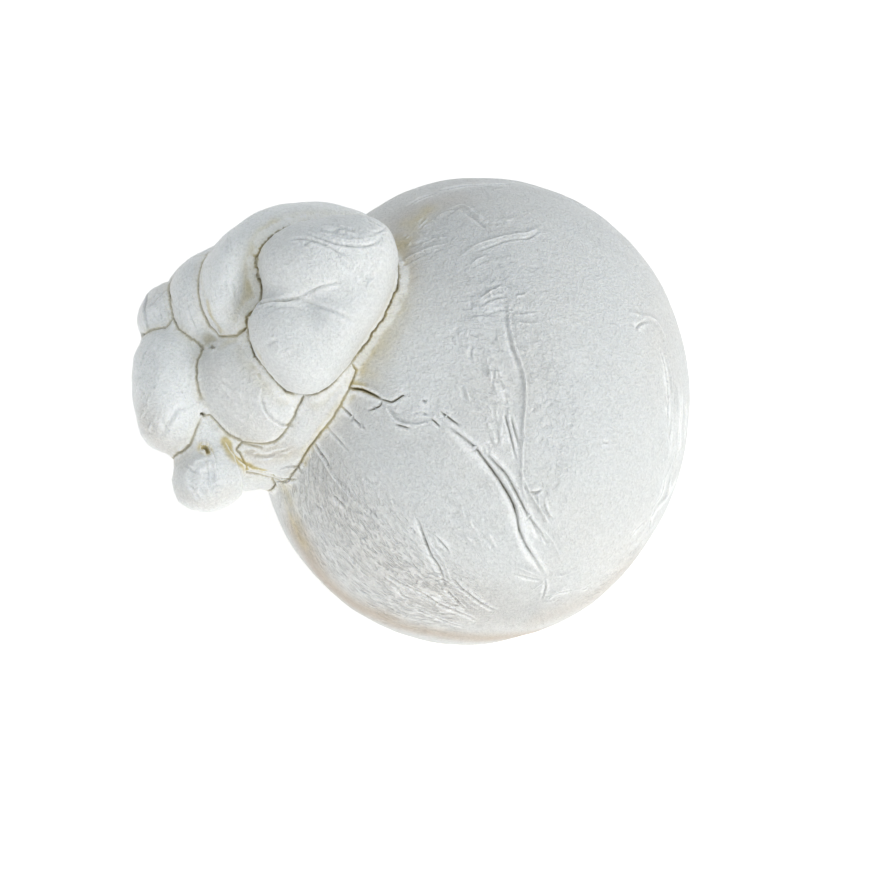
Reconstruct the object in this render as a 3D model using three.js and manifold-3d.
// A scamorza of stretched buffalo curd: a heavy ball with its knotted head folded over one shoulder.
// It is one continuous piece, so every lobe and fold is fused into a single solid.
// Units are millimetres, +Z is up, and the cheese stands on a small flat spot at z = 0.

import * as THREE from 'three';
import { mergeVertices } from 'three/addons/utils/BufferGeometryUtils.js';
import Module from 'manifold-3d';

const wasm = await Module();
wasm.setup();

// The cheese is laid out in its "face frame": u to the right, v up and w towards whoever faces it,
// measured from the middle of the ball. The whole is then leaned back so that w points up and forward.
const LEAN_DEG = 35;

// Ball: half widths across (u), along (v) and through (w), and how far its outline leans to one side
const BALL_ACROSS = 56.7;
const BALL_ALONG = 61.4;
const BALL_THROUGH = 53;
const BALL_SKEW = 1.2;
const BALL_DETAIL = 11;

// Middle of the ball above the rest face, and where it lies so that the whole is centred on the origin
const BALL_HEIGHT = 49.5;
const BALL_X = 16.03;
const BALL_Y = -0.06;

// Look of the curd: cool white with the faint sheen of a wet skin
const CURD_COLOUR = 0xe4e3dc;
const CURD_ROUGHNESS = 0.55;

// Lobes of the knotted head. Each is a plump roll along a spine of (u, v, w) points from tip to tip,
// with half widths across the face and through it. A fullness of 2 gives an ellipsoid, more gives
// blunter ends.
const LOBES = [
  {
    name: 'neck',
    spine: [[-15, 3, 14], [-37, 6, 23], [-62, 9, 22]],
    across: 16,
    through: 14,
    fullness: 3,
  },
  {
    name: 'heart',
    spine: [[-58, 40, 20], [-64, 14, 21], [-65, -8, 20]],
    across: 16.5,
    through: 13,
    fullness: 2.6,
  },
  {
    name: 'inner web',
    spine: [[-53, 46, 27], [-57, 32, 31], [-57, 19.4, 31]],
    across: 7.5,
    through: 12,
    fullness: 3,
  },
  {
    name: 'outer web',
    spine: [[-53, 42, 22], [-66, 36.5, 22], [-78, 29, 20]],
    across: 6.5,
    through: 10,
    fullness: 3,
  },
  {
    name: 'upper bulb',
    spine: [[-54.5, 34.8, 43], [-37, 38.3, 47], [-19.8, 41.3, 43]],
    across: 11.3,
    through: 13,
    fullness: 2.5,
  },
  {
    name: 'lower bulb',
    spine: [[-54.3, 27.2, 45], [-46, 17, 48], [-38.3, 6.2, 44]],
    across: 9.6,
    through: 12,
    fullness: 2.4,
  },
  {
    name: 'joining fold',
    spine: [[-26.5, 47, 41], [-29.2, 33, 44], [-37.6, 19.6, 45.5], [-42, 6, 43]],
    across: 8.9,
    through: 12.5,
    fullness: 2.8,
  },
  {
    name: 'long strap',
    spine: [
      [-25, 46, 28],
      [-44.2, 47.7, 30],
      [-55.2, 44.2, 34],
      [-63.4, 36, 37],
      [-64, 28, 37],
      [-60.5, 19.5, 34],
    ],
    across: 6.4,
    through: 12,
    fullness: 3,
  },
  {
    name: 'second strap',
    spine: [[-67, 37.5, 26], [-72.2, 32, 27.5], [-71.4, 25, 28.5], [-67.5, 18, 29]],
    across: 6,
    through: 11,
    fullness: 2.9,
  },
  {
    name: 'small crown',
    spine: [[-75.5, 31, 20], [-80.5, 25.5, 22], [-84.3, 19, 20]],
    across: 6.2,
    through: 10,
    fullness: 2.6,
  },
  {
    name: 'crown web',
    spine: [[-76, 28, 21], [-78, 22.5, 22], [-80, 16, 21]],
    across: 5,
    through: 11,
    fullness: 2.6,
  },
  {
    name: 'left cheek',
    spine: [[-78.8, 20.3, 26], [-78.2, 4.5, 29], [-75.8, -10.8, 26]],
    across: 10.4,
    through: 13,
    fullness: 2.7,
  },
  {
    name: 'middle cushion',
    spine: [[-65.5, 17, 31.5], [-56.6, 6.3, 34], [-46.2, -2, 32]],
    across: 12.6,
    through: 13,
    fullness: 2.8,
  },
  {
    name: 'collar',
    spine: [[-31.5, 16.5, 42], [-36, 8, 41], [-41.5, 0, 38], [-46.5, -6.5, 32], [-50, -13.5, 24]],
    across: 4.5,
    through: 7,
    fullness: 3,
  },
  {
    name: 'neck wedge',
    spine: [[-64, -5.2, 24], [-56, -9.9, 27], [-43, -9.9, 25]],
    across: 5.6,
    through: 9.5,
    fullness: 3,
  },
  {
    name: 'tail curl',
    spine: [[-51.5, -15.6, 21], [-47.6, -16.4, 24], [-44, -15.4, 23]],
    across: 2,
    through: 3,
    fullness: 2.4,
  },
  {
    name: 'end knob',
    spine: [[-69, -9.5, 31], [-69, -18, 33], [-69, -26, 31]],
    across: 9.2,
    through: 9,
    fullness: 2.2,
  },
  {
    name: 'knob stem',
    spine: [[-70.3, -0.5, 33], [-70.3, -5.5, 35], [-71.3, -11.5, 34]],
    across: 2.2,
    through: 4,
    fullness: 3,
  },
  {
    name: 'knob strand',
    spine: [[-68.6, -1, 33], [-66.2, -7.5, 34], [-62.3, -15, 35], [-61.3, -23.5, 33]],
    across: 2.3,
    through: 4.5,
    fullness: 3,
  },
  {
    name: 'tucked end',
    spine: [[-64.5, -16.5, 14], [-59, -17.5, 15], [-52, -16, 14]],
    across: 3.6,
    through: 8,
    fullness: 2.6,
  },
  {
    name: 'back strap',
    spine: [[-37.5, 46.5, 14], [-58.5, 42, 13], [-72.5, 23.5, 12]],
    across: 7.2,
    through: 12,
    fullness: 2.8,
  },
  {
    name: 'back cheek',
    spine: [[-67.5, 23.5, 14], [-74.5, 10.5, 12], [-74, -6, 14]],
    across: 8.9,
    through: 12,
    fullness: 2.8,
  },
  {
    name: 'back cushion',
    spine: [[-55.5, 8, 12], [-59.5, -5, 11], [-55.5, -16.5, 14]],
    across: 6.8,
    through: 11,
    fullness: 2.8,
  },
];
const LOBE_DETAIL = 3;

// Vertices closer than this are one: in millimetres on a finished lobe, and on the unit sphere
const SAME_POINT = 1e-4;
const SAME_DIRECTION = 1e-5;

// Folds of the ball's skin, each along (u, v) points of the face: how far it reaches out of the skin
// (a valley has a negative reach) and how wide it is. Both ends run out into the skin.
const FOLDS = [
  {
    name: 'long valley',
    path: [[-10, -2], [-1, -7], [6, -15], [11, -28], [19, -44]],
    reach: -1.5,
    width: 2.2,
  },
  { name: 'side valley', path: [[2, -9], [9, -19], [14, -30], [20, -36]], reach: -1.1, width: 1.8 },
  { name: 'torn seam', path: [[-35, 7], [-28, 5], [-21, 4.5], [-13, 3]], reach: -1.3, width: 1.8 },
  { name: 'low valley', path: [[-15, -27], [-9, -41], [-3, -51], [4, -56]], reach: -1.1, width: 2.2 },
  { name: 'crown valley', path: [[-5, 38], [1, 43], [10, 46], [18, 48]], reach: -1.0, width: 2.4 },
  {
    name: 'long ridge',
    path: [[9, 28], [12, 13], [13, -3], [13, -18], [18, -30]],
    reach: 1.2,
    width: 2.0,
  },
  { name: 'curl ridge', path: [[15, -20], [19, -28], [21, -38]], reach: 1.0, width: 1.8 },
];
const FOLD_SAMPLES = 32;

// How far beside a fold the skin is divided finer, and the longest edges left there, pass by pass
const FOLD_BAND = 4.5;
const FOLD_EDGES = [3.4, 1.9];

/** Half width of the ball's outline in the direction `angle` of the face. */
function outlineRadius(angle) {
  const mean = (BALL_ALONG + BALL_ACROSS) / 2;
  const oval = (BALL_ALONG - BALL_ACROSS) / 2;
  return mean - oval * Math.cos(2 * angle) + BALL_SKEW * Math.sin(2 * angle);
}

/** Point on the smooth skin of the ball in a direction of the unit sphere. */
function skinAt(direction) {
  const radius = outlineRadius(Math.atan2(direction.y, direction.x));
  return new THREE.Vector3(direction.x * radius, direction.y * radius, direction.z * BALL_THROUGH);
}

/** Point on the front skin of the ball at (u, v) of the face. */
function frontSkin([u, v]) {
  const spread = Math.hypot(u, v) / outlineRadius(Math.atan2(v, u));
  return new THREE.Vector3(u, v, BALL_THROUGH * Math.sqrt(1 - spread * spread));
}

/** Turns a three.js geometry into a closed solid for joining and cutting. */
function solidOf(geometry) {
  const bare = geometry.clone();
  bare.deleteAttribute('normal');
  bare.deleteAttribute('uv');
  const merged = mergeVertices(bare, SAME_POINT);
  return new wasm.Manifold(
    new wasm.Mesh({
      numProp: 3,
      vertProperties: new Float32Array(merged.attributes.position.array),
      triVerts: new Uint32Array(merged.index.array),
    }),
  );
}

/** Turns a joined solid back into a three.js geometry. */
function geometryOf(solid) {
  const mesh = solid.getMesh();
  const geometry = new THREE.BufferGeometry();
  geometry.setAttribute('position', new THREE.BufferAttribute(new Float32Array(mesh.vertProperties), 3));
  geometry.setIndex(new THREE.BufferAttribute(new Uint32Array(mesh.triVerts), 1));
  geometry.computeVertexNormals();
  return geometry;
}

/** Moves every vertex of a unit sphere by a function of its direction. */
function shapedSphere(detail, place) {
  const geometry = new THREE.IcosahedronGeometry(1, detail);
  const position = geometry.attributes.position;
  const direction = new THREE.Vector3();
  for (let i = 0; i < position.count; i += 1) {
    direction.fromBufferAttribute(position, i).normalize();
    const placed = place(direction);
    position.setXYZ(i, placed.x, placed.y, placed.z);
  }
  return geometry;
}

/** A fold with its route sampled on the skin, and how much of its reach is left at each sample. */
function laidFold({ path, reach, width }) {
  const curve = new THREE.CatmullRomCurve3(path.map(frontSkin));
  const samples = curve.getSpacedPoints(FOLD_SAMPLES);
  const strength = samples.map((_, i) => Math.sqrt(Math.sin((Math.PI * i) / FOLD_SAMPLES)));
  return { samples, strength, reach, width };
}

/** Height of all folds over the skin at a point of it. */
function reliefAt(point, folds) {
  let height = 0;
  for (const { samples, strength, reach, width } of folds) {
    let nearest = 0;
    for (let i = 1; i < samples.length; i += 1) {
      if (point.distanceTo(samples[i]) < point.distanceTo(samples[nearest])) nearest = i;
    }
    const away = point.distanceTo(samples[nearest]) / width;
    height += reach * strength[nearest] * Math.exp(-away * away);
  }
  return height;
}

/** Whether a point of the skin lies in the band beside some fold. */
function nearFold(point, folds) {
  return folds.some(({ samples }) => samples.some((sample) => point.distanceTo(sample) < FOLD_BAND));
}

/** Splits every edge that `wanted` picks at its middle, and divides the faces on both sides to match. */
function splitEdges(directions, faces, wanted) {
  const middles = new Map();
  const middleOf = (a, b) => {
    const key = `${Math.min(a, b)} ${Math.max(a, b)}`;
    if (!middles.has(key)) {
      const middle = directions[a].clone().add(directions[b]).normalize();
      const isSplit = wanted(directions[a], directions[b], middle);
      middles.set(key, isSplit ? directions.push(middle) - 1 : -1);
    }
    return middles.get(key);
  };
  const divided = [];
  for (const face of faces) {
    const cuts = [0, 1, 2].map((i) => middleOf(face[i], face[(i + 1) % 3]));
    const count = cuts.filter((cut) => cut >= 0).length;
    if (count === 0) {
      divided.push(face);
    } else if (count === 3) {
      const corners = [0, 1, 2].map((i) => [face[i], cuts[i], cuts[(i + 2) % 3]]);
      divided.push(...corners, cuts);
    } else {
      // Turn the face so that its first edge is split and, where two are, its third edge is whole
      let first = cuts.findIndex((cut) => cut >= 0);
      if (count === 2 && cuts[(first + 1) % 3] < 0) first = (first + 2) % 3;
      const [a, b, c] = [0, 1, 2].map((i) => face[(first + i) % 3]);
      const [ab, bc] = [cuts[first], cuts[(first + 1) % 3]];
      if (count === 1) {
        divided.push([a, ab, c], [ab, b, c]);
      } else {
        divided.push([ab, b, bc], [a, ab, bc], [a, bc, c]);
      }
    }
  }
  return divided;
}

/** The ball: a sphere drawn out to its outline and depth, finer beside the folds and moved along them. */
function makeBall() {
  const sphere = new THREE.IcosahedronGeometry(1, BALL_DETAIL);
  sphere.deleteAttribute('normal');
  sphere.deleteAttribute('uv');
  const merged = mergeVertices(sphere, SAME_DIRECTION);
  const position = merged.attributes.position;
  const directions = [];
  for (let i = 0; i < position.count; i += 1) {
    directions.push(new THREE.Vector3().fromBufferAttribute(position, i).normalize());
  }
  let faces = [];
  for (let i = 0; i < merged.index.count; i += 3) {
    faces.push([0, 1, 2].map((corner) => merged.index.getX(i + corner)));
  }
  const folds = FOLDS.map(laidFold);
  for (const longest of FOLD_EDGES) {
    const wanted = (a, b, middle) =>
      skinAt(a).distanceTo(skinAt(b)) > longest && nearFold(skinAt(middle), folds);
    faces = splitEdges(directions, faces, wanted);
  }
  const points = directions.flatMap((direction) => {
    const skin = skinAt(direction);
    return skin.addScaledVector(direction, reliefAt(skin, folds)).toArray();
  });
  const ball = new THREE.BufferGeometry();
  ball.setAttribute('position', new THREE.Float32BufferAttribute(points, 3));
  ball.setIndex(faces.flat());
  return ball;
}

/** One plump lobe: a sphere whose axis is bent along the spine and whose ends are as blunt as asked. */
function makeLobe({ spine, across, through, fullness }) {
  const curve = new THREE.CatmullRomCurve3(spine.map((point) => new THREE.Vector3(...point)));
  const facing = new THREE.Vector3(0, 0, 1);
  return shapedSphere(LOBE_DETAIL, (direction) => {
    const along = THREE.MathUtils.clamp(direction.x, -1, 1);
    const ring = Math.hypot(direction.y, direction.z) || 1;
    const girth = (1 - Math.abs(along) ** fullness) ** (1 / fullness);
    const t = (1 + along) / 2;
    const tangent = curve.getTangentAt(t);
    const side = new THREE.Vector3().crossVectors(facing, tangent).normalize();
    const front = new THREE.Vector3().crossVectors(tangent, side);
    return curve
      .getPointAt(t)
      .addScaledVector(side, (girth * across * direction.y) / ring)
      .addScaledVector(front, (girth * through * direction.z) / ring);
  });
}

/** The block below the table, whose top cuts the flat spot that the cheese rests on. */
function makeTable() {
  const side = 4 * BALL_ALONG;
  const table = new THREE.BoxGeometry(side, side, side);
  table.translate(0, 0, -side / 2);
  return table;
}

/** Leans a geometry of the face frame back, and stands it where the cheese rests. */
function stand(geometry) {
  geometry.rotateX(THREE.MathUtils.degToRad(LEAN_DEG));
  geometry.translate(BALL_X, BALL_Y, BALL_HEIGHT);
  return geometry;
}

let cheese = solidOf(stand(makeBall()));
for (const lobe of LOBES) {
  cheese = cheese.add(solidOf(stand(makeLobe(lobe))));
}
cheese = cheese.subtract(solidOf(makeTable()));

const curd = new THREE.MeshStandardMaterial({
  color: CURD_COLOUR,
  roughness: CURD_ROUGHNESS,
  metalness: 0,
});
const scamorza = new THREE.Mesh(geometryOf(cheese), curd);
scamorza.name = 'scamorza';

const model = new THREE.Group();
model.add(scamorza);

export default model;
